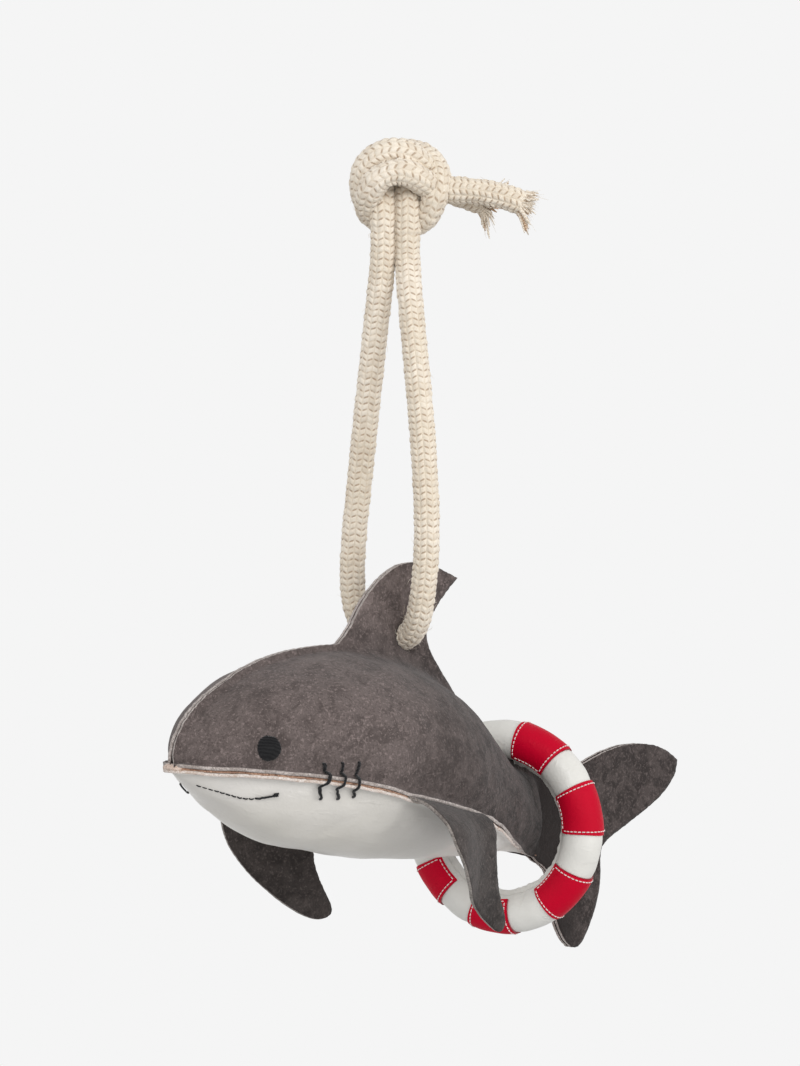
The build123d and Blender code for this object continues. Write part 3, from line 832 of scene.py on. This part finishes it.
# ---- lifebuoy ring
UP = np.array([0, 0, 1])
RING_CENTRE = np.array([77, 4, -253.8])
RING_TURN = radians(16)
RING_WAY = np.array([cos(RING_TURN), sin(RING_TURN), 0])
RING_R, TUBE_R, PATCH = 41.2, 9, 0.9
PATCHES = [(27, 29), (77, 29), (131, 29), (185, 28), (231.5, 24), (280, 27), (330, 28)]
PATCH_WRAP = 138            # degrees, how far a patch goes round the tube on both sides of its outermost line
EDGE_ROOM = 1.9             # degrees between a patch's ends and its stitches


def degrees_apart(a, b):
    """How many degrees lie between two directions."""
    return np.abs((a - b + 180) % 360 - 180)


def ring_point(angle, around, lift):
    """A point on the tube: around is 0 at its outermost line and 180 at its innermost one."""
    angle, around, lift = np.broadcast_arrays(*(np.asarray(v, float) for v in (angle, around, lift)))
    a, b = np.radians(angle), np.radians(around)
    radial = np.cos(a)[..., None] * UP + np.sin(a)[..., None] * np.cross(RING_WAY, UP)
    r = TUBE_R + lift
    out = RING_CENTRE + radial * RING_R + radial * (r * np.cos(b))[..., None]
    return out + RING_WAY * (r * np.sin(b))[..., None]


def ring_swell(angle, around):
    """Unevenness of the stuffed tube."""
    shape = np.broadcast(angle, around).shape
    p = ring_point(angle, around, 0).reshape(-1, 3)
    return (smooth_noise(p, 16, 41) * 0.45 + smooth_noise(p, 6, 42, 1) * 0.12).reshape(shape)


def build_ring_cover():
    """The white cover, with its pleated seam round the inside."""
    angle = np.linspace(0, 360, 400, endpoint=False)[:, None]
    around = np.linspace(0, 360, 108, endpoint=False)[None, :]
    inner = degrees_apart(around, 180)
    pleat = smooth_noise(xyz(angle[:, 0] * 0.72), 3.4, 43, 1)[:, None]
    under = np.min([degrees_apart(angle, centre) for centre, _ in PATCHES], axis=0)
    seam = np.exp(-(inner / 5.2) ** 4) * (1.9 + 0.35 * pleat)
    groove = -0.5 * bell(inner - 12, 5) * (1 + 0.6 * pleat)
    pucker = 0.30 * pleat * np.exp(-np.clip(inner - 10, 0, None) / 20)
    lift = ring_swell(angle, around) + unit((under - 13) / 6) * 0.28 + seam + groove + pucker
    lift = np.where(under < 14.5, np.minimum(lift, 0.35 + seam), lift)
    points = ring_point(angle, around, lift).reshape(-1, 3)
    faces = grid_faces(angle.size, around.size, True, True)
    return mesh_object("ring_cover_leather", points, faces, ["ring"])


def patch_shape(centre, half, u, v):
    """For points u from a patch's middle and v round the tube: angle, share of the half width, height."""
    share = np.abs(u) / half
    flare = 0.5 * bell(v, 60) * np.sign(u) * share ** 3
    return centre + u + flare, share, PATCH + np.maximum(ring_swell(centre + u, v) * 0.8, -0.15) + 0.1


def build_patch(k, centre, half):
    """One red patch with its cut edge all round."""
    u, v = np.meshgrid(np.linspace(-half, half, 34), np.linspace(-PATCH_WRAP, PATCH_WRAP, 92), indexing="ij")
    at, share, outer = patch_shape(centre, half, u, v)
    at = at + 0.24 * np.sin(v / 23 + k) * share ** 2
    top = ring_point(at, v, outer * (1 - np.exp(-((half - np.abs(u)) / 0.8)) * 0.25))
    rows, columns = u.shape
    count = rows * columns
    faces = grid_faces(rows, columns)
    ids = np.arange(count).reshape(rows, columns)
    border = [*ids[:, 0], *ids[-1, 1:], *ids[-2::-1, -1], *ids[0, -2:0:-1]]
    rim = [(b, a, a + count, b + count) for a, b in zip(border, border[1:] + border[:1])]
    points = np.concatenate([top.reshape(-1, 3), ring_point(at, v, -0.1).reshape(-1, 3)])
    kinds = [0] * len(faces) + [1] * len(rim)
    return mesh_object("red_patch_%d" % (k + 1), points, faces + rim, ["red", "red_edge"], kinds)


def patch_stitches(centre, half):
    """The white stitches inside a patch's four edges."""
    stitches = []
    wide = np.linspace(-PATCH_WRAP + 8, PATCH_WRAP - 8, 240)
    across = np.linspace(-half + EDGE_ROOM, half - EDGE_ROOM, 80)
    for sign in (-1, 1):
        end_row = np.full(wide.size, sign * (half - EDGE_ROOM)), wide
        side_row = across, np.full(across.size, sign * (PATCH_WRAP - 8.5))
        for u, v in (end_row, side_row):
            at, _, outer = patch_shape(centre, half, u, v)
            line = ring_point(at, v, outer + 0.02)
            stitches += running_stitch(line, line - ring_point(at, v, 0), 2, 1.25, 0.25)
    return stitches


# ---- threads
def running_stitch(line, away, period, long, radius):
    """Short stitches along a line; each is a list of points and a radius."""
    along = way_along(line)
    away = normed(away)
    count = max(1, int(along[-1] // period))
    start = (along[-1] - count * period) / 2 + (period - long) / 2
    hump = np.array([-0.35, 0.18, 0.36, 0.42, 0.36, 0.18, -0.35])[:, None] * radius * 1.6
    out = []
    for i in range(count):
        at = start + i * period + np.linspace(0, long, 7)
        base, up = (np.stack([np.interp(at, along, v[:, k]) for k in range(3)], 1) for v in (line, away))
        out.append((base + up * hump, radius))
    return out


def carried(ways, side):
    """Across each place of a line, two directions at right angles, carried along without twisting."""
    side = normed(np.cross(ways[0], side))
    for way in ways:
        side = normed(side - way * side.dot(way))
        yield side, np.cross(way, side)


def tube(points, radius, sides, taper):
    """Points and faces of a thin round thread along a line."""
    ways = normed(np.gradient(points, axis=0))
    a = 2 * pi * np.arange(sides)[:, None] / sides
    shares = 1 - 0.75 * taper * np.linspace(0, 1, len(points)) ** 2
    verts = [p + (side * np.cos(a) + other * np.sin(a)) * radius * share
             for p, share, (side, other) in zip(points, shares, carried(ways, [0.3, 0.5, 0.81]))]
    return np.concatenate(verts), tube_faces(len(points), sides)


def threads(name, lines, material, sides=8, taper=False):
    """One object of many threads, each given as points and a radius."""
    verts, faces = [], []
    for points, radius in lines:
        v, f = tube(points, radius, sides, taper)
        base = len(verts)
        verts.extend(v)
        faces += [tuple(i + base for i in face) for face in f]
    return mesh_object(name, verts, faces, [material])


def on_flank(x, z, lift=0):
    """The stuffed left flank's surface at this height, lifted outwards, and its outward way."""
    p, n = at_height(flank_point, flank_length(x), 160, 1, x, z)
    return p + n * dent(p[None, :], np.array([12]), np.array([60]))[0] + n * lift


EYE_X, EYE_Z, EYE_R = -104.5, -205, 5.4
EYE_RINGS = [  # share of the radius, height above the suede
    (0, 0.75), (0.25, 0.72), (0.5, 0.68), (0.75, 0.60), (0.9, 0.50), (0.97, 0.35), (1, 0.1), (1, -0.4)]


def build_eye(side, name):
    """An eye embroidered in black thread: a flat round of close radial stitches."""
    columns = 120
    edge = 1 + 0.025 * np.random.default_rng(17).normal(size=columns)
    verts = []
    for share, lift in EYE_RINGS:
        for k in range(columns):
            a = 2 * pi * k / columns
            r = EYE_R * share * (edge[k] if share > 0.9 else 1)
            stitch = 0.07 * (-1) ** k * (0.3 < share < 1)
            place = on_flank(EYE_X + 0.74 * r * cos(a), EYE_Z + r * sin(a), lift + stitch)
            verts.append(place * [1, side, 1])
    faces = [f[::-side] for f in grid_faces(len(EYE_RINGS), columns, False, True)]
    return mesh_object(name, verts, faces, ["black"])


GILLS = (-84, -77, -70)
GILL_TOP, GILL_LOW = -211.5, (-227.6, -227.6, -227.1)


def build_gills(side, name, on_belly):
    """Three thick black stitches over the belly seam, each a slightly S-shaped double strand."""
    lines = []
    for k, x in enumerate(GILLS):
        lip = at_x(SEAM, x - 1.5)
        seam_out = at_x(SEAM_HALF, x + 0.5) + FLANGE + 0.9
        centre = [on_flank(x, z, 0.55) for z in np.arange(GILL_TOP, lip + 2.6, -0.9)]
        wave = float(seam_wave(x, side)[0])
        for z in (lip + 1.7, lip, lip - 1.7):
            centre.append(np.array([x + 0.4, seam_out + 0.3 * (z == lip), z + wave]))
        for z in np.arange(lip - 3.4, GILL_LOW[k], -0.9):
            inward = at_x(SEAM_HALF, x) - abs(on_belly(x, z)[0][1])
            p, n = on_belly(x + 0.75 * inward, z)
            centre.append((p + n * 0.75) * [1, -1, 1])
        centre = resample(spline(centre, 6), 0.5)
        t = np.linspace(0, 1, len(centre))
        ends = unit((np.abs(2 * t - 1) - 0.93) / 0.07)
        for strand in (-1, 1):
            bow = -1.4 * t + 0.9 * np.sin(2 * pi * t + 0.5 * k) + strand * 0.34 * np.cos(9 * t + k)
            line = centre + xyz(bow, 0.18 * strand * np.sin(9 * t) - ends)
            lines.append((line * [1, side, 1], 0.56))
    return threads(name, lines, "black", 10)


MOUTH = [(-123.5, -220.6), (-118.5, -222.6), (-112.5, -225), (-107, -226.6), (-102, -226.2), (-98, -224.8)]


def build_mouth(on_belly):
    """The smile: a running stitch of black thread across the front of the underside, ending in knots."""
    places, ways = zip(*(on_belly(x, z) for x, z in resample(spline(MOUTH), 0.5)))
    lines = []
    for side in (1, -1):
        flip = np.array([1, side, 1])
        way = np.array(ways) * flip
        points = np.array(places) * flip + way * 0.25
        lines += running_stitch(points, way, 2.6, 2, 0.30)
        lines += running_stitch(points[-16:], way[-16:], 3, 2.8, 0.42)
        knot = points[-4:] + way[-4:] * 0.35
        lines += [(knot, 0.62), (knot[::-1] + [0.4, 0, 0.7], 0.4)]
    return threads("smile", lines, "black", 10)


# ---- rope
TURN_45 = 0.7071            # cosine and sine of 45 degrees
# In the knot, which is turned 45 degrees, a point is told by how far it is to the right, to the front and up.
REAR_TAIL = [(41.5, -8, 36), (36, -8, 38), (29, -7.5, 40.5), (21, -5.5, 43.5)]
RIGHT_STRAND = [
    (14, 0, 49), (10, 7.5, 54.5), (1, 11, 58), (-8, 10, 56.5), (-14, 6.5, 50), (-15, 1, 41),
    (-12, -7.5, 34.5), (-5, -14, 33), (5, -15, 36), (12, -12, 37), (14.5, -6, 40), (12, -4.5, 47),
    (7, -4.5, 48.5), (5, -1, 43), (6, 3, 34), (5.6, 2, 22), (5.6, 0, 8),
]
LEFT_STRAND = [
    (-5.4, 0, 8), (-5.4, 2, 22), (-5.4, 3, 34), (-6, -2, 44), (-5, -5.5, 54), (1, -6, 60), (10, -4, 59),
    (17.5, 0, 53.5), (20, 4.5, 45), (18, 6, 36.5), (15, 1.5, 29.5), (8, -7, 26), (0, -9.5, 26.5),
    (-8, -6.5, 28.5), (-12.8, 0.5, 33), (-12, 8.5, 39), (-7.5, 13, 45), (0, 14.5, 48), (7, 13.5, 47),
    (13, 8.5, 43.5),
]
FRONT_TAIL = [(20, 1, 41), (31, 2.5, 41), (43, 3.5, 39.5), (52, 4, 37), (58.5, 4, 34.5)]
LOOP_ROUTE = [  # in the row frame
    (0.8, -9.8, -16), (0, -17.6, -68), (0, -21.2, -116), (1.5, -16, -146), (4.5, -8, -159.8),
    (6, 5, -164), (5, 17, -163), (1.5, 27, -154), (0, 29, -131), (0, 22.5, -86),
    (-0.8, 12.6, -26),
]


def rope_route():
    """The rope's centreline: points read from a NURBS curve with these control points."""
    def turned(points):
        return [((a - b) * TURN_45, -(a + b) * TURN_45, z) for a, b, z in points]

    points = turned(REAR_TAIL + RIGHT_STRAND) + LOOP_ROUTE + turned(LEFT_STRAND + FRONT_TAIL)
    curve = bpy.data.curves.new("rope_route", "CURVE")
    curve.dimensions, curve.resolution_u = "3D", 16
    line = curve.splines.new("NURBS")
    line.points.add(len(points) - 1)
    for point, place in zip(line.points, points):
        point.co = (place[0] * MM, place[1] * MM, place[2] * MM, 1)
    line.order_u, line.use_endpoint_u = 3, True
    obj = link("rope_route", curve)
    mesh = bpy.data.meshes.new_from_object(obj)
    path = np.array([v.co[:] for v in mesh.vertices]) / MM
    bpy.data.objects.remove(obj)
    return resample(path, 0.5)


def squeezed_radius(ring, nearby):
    """The rope's radius round a place, pressed flat halfway to other strands nearby."""
    size = np.full(len(ring), ROPE_R - 0.30)
    if len(nearby):
        facing_it = ring @ nearby.T
        reach = (nearby ** 2).sum(1)[None, :] / np.maximum(2 * facing_it, 1e-6)
        limit = np.where(facing_it > 0, reach, 99).min(axis=1) - 0.1
        bulge = 1 + 0.06 * (np.clip(limit / size, 0.3, 1).min() < 0.93)
        size = np.minimum(size * bulge, np.maximum(limit, 2.2))
    return size


def build_rope(path):
    """The braided cotton rope, its strands pressed flat where they meet in the knot."""
    n, sides = len(path), 96
    along = np.arange(n) * np.linalg.norm(path[1] - path[0])
    angle = np.linspace(0, 2 * pi, sides, endpoint=False)
    u = angle / (2 * pi) * COLUMNS
    column = np.floor(u).astype(int)
    cell = u - column
    slant = np.where(column % 2 == 0, -SLANT, SLANT)
    jitter = np.random.default_rng(31)
    plumpness = jitter.uniform(0.45, 1.15, (COLUMNS, int(along[-1] / ROW) + 4))
    verts = np.zeros((n, sides, 3))
    frames = carried(normed(np.gradient(path, axis=0)), [0.2, 0.3, 0.93])
    for i, (side, other) in enumerate(frames):
        ring = side * np.cos(angle)[:, None] + other * np.sin(angle)[:, None]
        w = along[i] / ROW + slant * (cell - 0.5)
        gap = np.abs(w - np.floor(w) - 0.5) * 2
        plump = (1 - np.abs(cell - 0.5) ** 2.2 * 4.2) * (1 - gap ** 3.2)
        plump = plump * plumpness[column, np.floor(w).astype(int) + 1]
        d = path[::2] - path[i]
        near = (np.linalg.norm(d, axis=1) < 2.1 * ROPE_R) & (np.abs(along[::2] - along[i]) > 17)
        size = squeezed_radius(ring, d[near])
        size = size * (1 - 0.10 * bell(min(along[i], along[-1] - along[i]), 2))
        verts[i] = path[i] + ring * (size + 0.72 * plump + jitter.normal(0, 0.04, sides) - 0.1)[:, None]
    rope = mesh_object("rope", verts.reshape(-1, 3), tube_faces(n, sides), ["rope"])
    corners = np.zeros((n - 1, sides, 4, 2))
    rows, turns = along / ROW, np.append(u, COLUMNS)
    corners[..., 0] = np.stack([turns[:-1], turns[1:], turns[1:], turns[:-1]], 1)
    corners[..., 1] = np.stack([rows[:-1], rows[:-1], rows[1:], rows[1:]], 1)[:, None]
    ends = np.zeros(2 * len(rope.data.loops) - corners.size)
    rope.data.uv_layers.new(name="braid").data.foreach_set("uv", np.append(corners, ends))
    return rope


YARNS, THIN_FIBRES = 60, 120            # at each cut end
RUB_FIBRES, LOOSE_FIBRES = 90, 120      # along the rope


def build_fray(name, path, at_end, spread, droop, seed):
    """Loose yarns at a cut end of the rope: thick crumpled ends of the plait and a few thin fibres."""
    r = np.random.default_rng(seed)
    end, before = (path[-1], path[-8]) if at_end else (path[0], path[7])
    way = normed(end - before)
    side = normed(np.cross(way, UP))
    up = np.cross(side, way)
    t = np.linspace(0, 1, 10)[:, None]
    groups = {"fray": [], "fray_tan": []}
    for k in range(YARNS + THIN_FIBRES):
        thick = k < YARNS
        a, share = r.uniform(0, 2 * pi), sqrt(r.uniform(0, 1))
        out = side * cos(a) + up * sin(a)
        low = max(0, -sin(a)) * share
        if thick:
            long = r.uniform(2.2, 4.8) * (1.3 if spread > 1 else 1) + low * droop * r.uniform(0.3, 1.6)
        else:
            long = r.uniform(1.5, 6.5)
        curl, twist = r.normal(0, 1, 3) * 0.5, r.uniform(0, 6)
        points = end - way * 2 + out * 5.5 * share
        points = points + way * (2 + long * (t - 0.35 * low * t * t)) * (0.35 + 0.65 * t)
        points = points + out * spread * long * t * t * 0.55 + curl * long * t * t * 0.4
        points = points + (side * np.sin(twist + 5 * t) + up * np.cos(twist + 5 * t)) * 0.45 * t
        points = points - UP * low * droop * (long * t) ** 1.4 * 0.42
        radius = r.uniform(0.55, 1.15) if thick else r.uniform(0.07, 0.15)
        groups["fray_tan" if r.uniform() < 0.17 else "fray"].append((points, radius))
    return [threads(name + material[4:], lines, material, 7, True) for material, lines in groups.items()]


def build_stray_fibres(path):
    """Thin cotton fibres that stand off the rope, most of them where it rubs in the fin's hole."""
    r = np.random.default_rng(61)
    lowest, last = int(np.argmin(path[:, 2])), len(path) - 1
    t = np.linspace(0, 1, 7)[:, None]
    lines = []
    for k in range(RUB_FIBRES + LOOSE_FIBRES):
        rubbed = k < RUB_FIBRES
        i = int(np.clip(lowest + r.normal(0, 34), 5, last - 5) if rubbed else r.integers(20, last - 19))
        way = normed(path[i + 2] - path[i - 2])
        out = normed(np.cross(way, r.normal(0, 1, 3)))
        long = r.uniform(2.5, 8) if rubbed else r.uniform(1.5, 4.5)
        lean, curl = r.uniform(-1, 1), r.normal(0, 0.5, 3)
        points = path[i] + out * (ROPE_R + 0.1 + long * 0.55 * t * (1 - 0.4 * t)) + way * lean * long * t
        lines.append((points + curl * long * t * t * 0.6, r.uniform(0.05, 0.09)))
    return threads("stray_fibres", lines, "fray", 5, True)


# ---- the toy
def finish_piece(obj, slot, *nodes, body=None, fill=None):
    """Hides the CAD nodes a piece stands for and puts it on its body; its material slot and how full it is
    are not used.
    """
    if nodes:
        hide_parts(*nodes)
    if body:
        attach(obj, body)


def make_rope():
    """The rope with its frays and stray fibres, all on the rope's body."""
    path = rope_route()
    rope = build_rope(path)
    frays = build_fray("rear_tail_fray", path, False, 2.6, 0.2, 51)
    frays += build_fray("front_tail_fray", path, True, 0.7, 1.5, 52)
    frays.append(build_stray_fibres(path))
    length = float(way_along(path)[-1]) * MM
    print("rope length", round(length, 4))
    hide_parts("rope_knot", "rope_loop", "rope_front_tail", "rope_rear_tail")
    for piece in (rope, *frays):
        finish_piece(piece, "cotton_rope", body="rope")


def make_shark():
    """The skins, fins and stitches of the shark."""
    belly, on_belly = build_belly()
    for side, word in ((-1, "left"), (1, "right")):
        panel = build_side_panel(side, word + "_side")
        extra = ["body_stuffing"] if side < 0 else []
        finish_piece(panel, "grey_suede", word + "_side_panel", word + "_tail_layer", *extra, fill=0.85)
        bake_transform(panel)
        fin = build_pectoral(side, word + "_fin")
        finish_piece(fin, "grey_suede", word + "_pectoral_fin")
        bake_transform(fin)
        finish_piece(build_eye(side, word + "_eye_embroidery"), "black_thread", word + "_eye", body="shark")
        gills = build_gills(side, word + "_gills", on_belly)
        finish_piece(gills, "black_thread", word + "_gill_stitches", body="shark")
    finish_piece(belly, "white_leather", "belly_panel", body="shark", fill=0.85)
    finish_piece(build_mouth(on_belly), "black_thread", "mouth_stitches", body="shark")
    finish_piece(build_seam_core(), "grey_suede", body="shark")


def make_ring():
    """The lifebuoy ring with its patches and their stitches."""
    finish_piece(build_ring_cover(), "ring_leather", "ring_cover", "ring_stuffing", body="ring", fill=0.9)
    stitches = []
    for k, (centre, span) in enumerate(PATCHES):
        finish_piece(build_patch(k, centre, span / 2), "red_leather", "ring_patch_%d" % (k + 1), body="ring")
        stitches += patch_stitches(centre, span / 2)
    finish_piece(threads("patch_stitches", stitches, "white"), "white_thread", "patch_stitching", body="ring")


make_stage()
make_rope()
make_shark()
make_ring()
